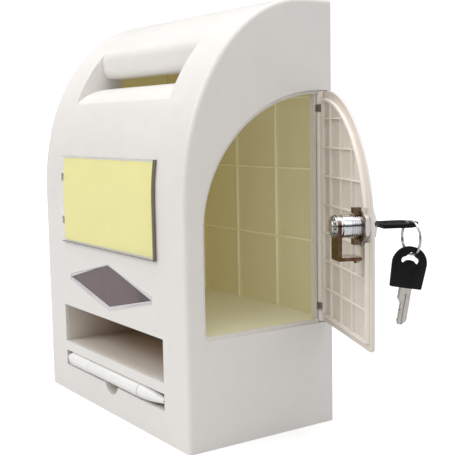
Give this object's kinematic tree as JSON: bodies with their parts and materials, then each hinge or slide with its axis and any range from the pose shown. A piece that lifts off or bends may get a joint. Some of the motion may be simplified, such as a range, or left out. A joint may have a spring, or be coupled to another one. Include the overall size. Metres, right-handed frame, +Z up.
{
  "type": "ballot box",
  "caption": "Wall or desk ballot box with an arched posting slot, a locked side door, a label cover, a window, a card pocket and a pen in its slot.",
  "frame": {"origin": "middle of the base, on the surface that the box stands on", "axes": "+X to the right seen from the front, +Y to the back, +Z up; the front faces -Y"},
  "size_m": [0.2974, 0.1124, 0.27],
  "materials": {
    "cream_shell": "moulded, satin gloss, off-white",
    "tray_plastic": "moulded, satin gloss, off-white",
    "door_plastic": "moulded, satin, slightly pink off-white",
    "bezel_plastic": "clear bevel that reads light grey",
    "smoke_pane": "smoke-tinted clear plastic",
    "yellow_card": "plain pale yellow card",
    "clear_cover": "clear, polished",
    "chrome": "polished plating",
    "nickel": "bright plating, turned",
    "bronzed_steel": "bronzed plating",
    "cam_steel": "pressed, plated",
    "steel": "plain",
    "zinc": "bright zinc",
    "key_steel": "nickel plated, milled",
    "ring_steel": "polished wire",
    "black_plastic": "black, fine grain",
    "pen_white": "white, polished",
    "refill_brass": "drawn tube"
  },
  "bodies": {
    "root": {"housing": "cream_shell", "back_panel": "cream_shell", "back_screws": "zinc", "compartment_floor": "cream_shell", "card_tray": "tray_plastic", "pen_trough": "cream_shell", "window_bezel": "bezel_plastic", "window_pane": "smoke_pane", "label_card": "yellow_card", "hinge_pins": "steel"},
    "door": {"door_panel": "door_plastic", "lock_barrel": "chrome", "lock_nut": "nickel", "lock_washer": "bronzed_steel"},
    "lock_core": {"lock_plug": "chrome", "lock_cam": "cam_steel", "cam_stop_washer": "steel", "cam_star_washer": "steel", "cam_screw": "zinc"},
    "lock_key": {"lock_key_blade": "key_steel", "lock_key_bow": "black_plastic"},
    "ring": {"key_ring": "ring_steel"},
    "spare_key": {"spare_key_blade": "key_steel", "spare_key_bow": "black_plastic"},
    "pen": {"pen_barrel": "pen_white", "pen_nose": "pen_white", "pen_spring": "steel"},
    "pen_push": {"pen_button": "pen_white", "pen_refill": "refill_brass"},
    "cover": {"label_cover": "clear_cover"}
  },
  "joints": [
    {"name": "door_hinge", "type": "hinge", "parent": "root", "child": "door", "pos_m": [0.097, 0.049, 0.137], "axis": [0, 0, 1], "range_deg": [-67.2, 22.8]},
    {"name": "lock_turn", "type": "hinge", "parent": "door", "child": "lock_core", "pos_m": [0.17056, 0.01808, 0.137], "axis": [0.3875, 0.9219, 0], "range_deg": [-90, 0]},
    {"name": "key_pull", "type": "slide", "parent": "lock_core", "child": "lock_key", "axis": [0.3875, 0.9219, 0], "range_m": [0, 0.022]},
    {"name": "ring_swing", "type": "hinge", "parent": "lock_key", "child": "ring", "pos_m": [0.18768, 0.03762, 0.137], "axis": [0.2215, 0.9751, 0], "range_deg": [-8, 8]},
    {"name": "spare_swing", "type": "hinge", "parent": "ring", "child": "spare_key", "pos_m": [0.18768, 0.03762, 0.1209], "axis": [0.9751, -0.2215, 0], "range_deg": [-14, 40]},
    {"name": "pen_out", "type": "slide", "parent": "root", "child": "pen", "axis": [0, -1, 0], "range_m": [0, 0.03]},
    {"name": "pen_click", "type": "slide", "parent": "pen", "child": "pen_push", "axis": [1, 0, 0], "range_m": [0, 0.0035], "stiffness_N_per_m": 200},
    {"name": "cover_hinge", "type": "hinge", "parent": "root", "child": "cover", "pos_m": [-0.0691, -0.0537, 0.1431], "axis": [0, 0, -1], "range_deg": [0, 90]}
  ]
}
